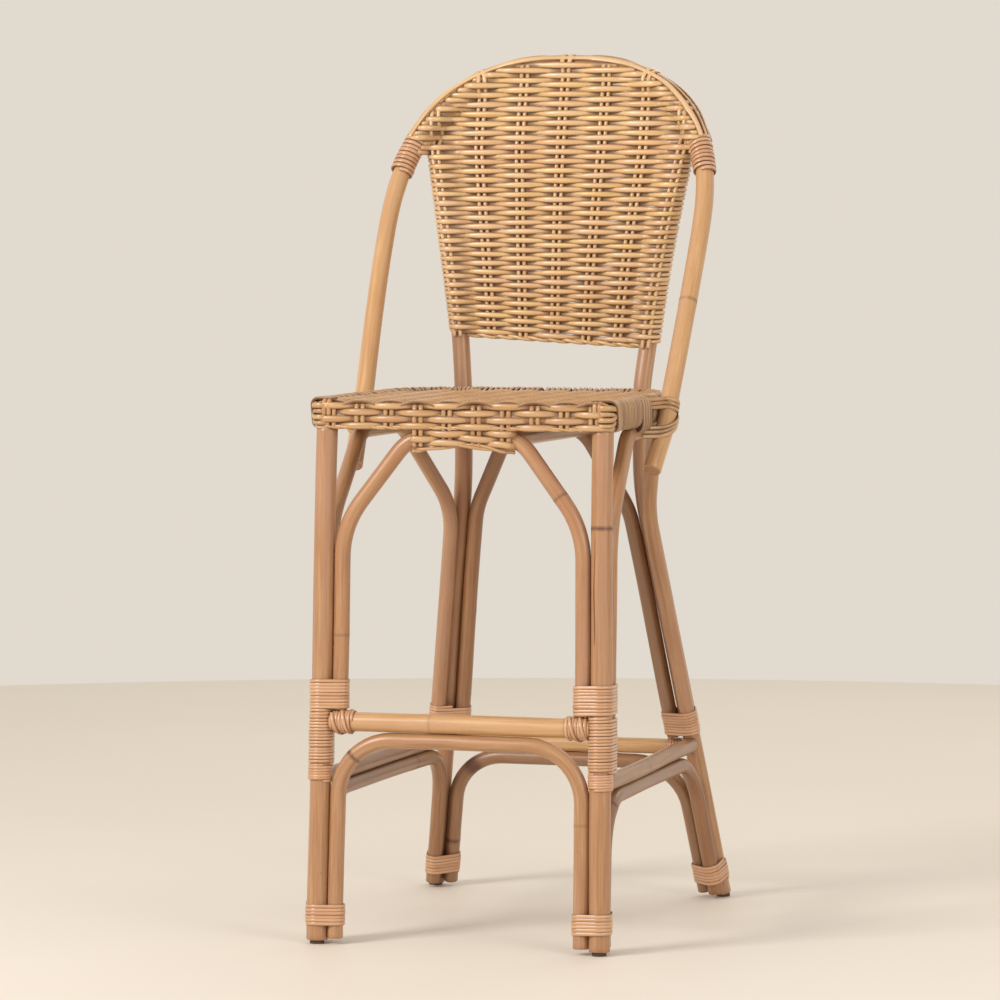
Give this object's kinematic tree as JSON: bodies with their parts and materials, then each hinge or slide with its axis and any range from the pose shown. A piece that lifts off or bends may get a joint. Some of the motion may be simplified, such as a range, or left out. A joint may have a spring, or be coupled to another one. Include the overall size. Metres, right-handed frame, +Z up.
{
  "type": "bar stool with footrest",
  "caption": "Bar-height stool of bent rattan poles with a woven seat, a woven arched back and a footrest between the front legs.",
  "frame": {"origin": "on the floor, at the centre of the stool's bounding box in plan", "axes": "+X to the right as seen from the front, +Y from the front to the back, +Z up"},
  "size_m": [0.4986, 0.646, 1.2451],
  "materials": {
    "pole": "satin lacquered rattan pole",
    "pale_pole": "satin lacquered rattan pole, paler",
    "dark_pole": "satin lacquered rattan pole, darker",
    "cane": "split cane winding, satin",
    "weave": "woven round cane, satin",
    "glide": "matt"
  },
  "bodies": {
    "root": {"front_leg_R": "pole", "front_leg_L": "pole", "rear_leg_R": "pole", "rear_leg_L": "pole", "rear_arch": "pole", "lower_rear_arch": "pole", "side_arch_R": "pole", "side_arch_L": "pole", "front_arch": "pale_pole", "lower_front_arch": "pale_pole", "footrest_bar": "pale_pole", "rear_bar": "pale_pole", "back_loop": "pale_pole", "lower_side_arch_R": "dark_pole", "lower_side_arch_L": "dark_pole", "side_bar_R": "dark_pole", "side_bar_L": "dark_pole", "seat_front_rail": "dark_pole", "seat_hoop": "dark_pole", "seat_bearer_R": "dark_pole", "seat_bearer_L": "dark_pole", "footrest_binding_R": "cane", "footrest_binding_L": "cane", "rear_bar_binding_R": "cane", "rear_bar_binding_L": "cane", "loop_binding_R": "cane", "loop_binding_L": "cane", "front_foot_binding_R": "cane", "front_foot_binding_L": "cane", "front_upper_binding_R": "cane", "front_upper_binding_L": "cane", "front_lower_binding_R": "cane", "front_lower_binding_L": "cane", "rear_foot_binding_R": "cane", "rear_foot_binding_L": "cane", "rear_binding_R": "cane", "rear_binding_L": "cane", "loop_strap_R": "cane", "loop_strap_L": "cane", "seat_weave": "weave", "front_apron": "weave", "rim_braid": "weave", "back_weave": "weave", "back_edge_R": "weave", "back_edge_L": "weave", "front_glide_R": "glide", "front_glide_L": "glide", "rear_glide_R": "glide", "rear_glide_L": "glide"}
  },
  "joints": []
}
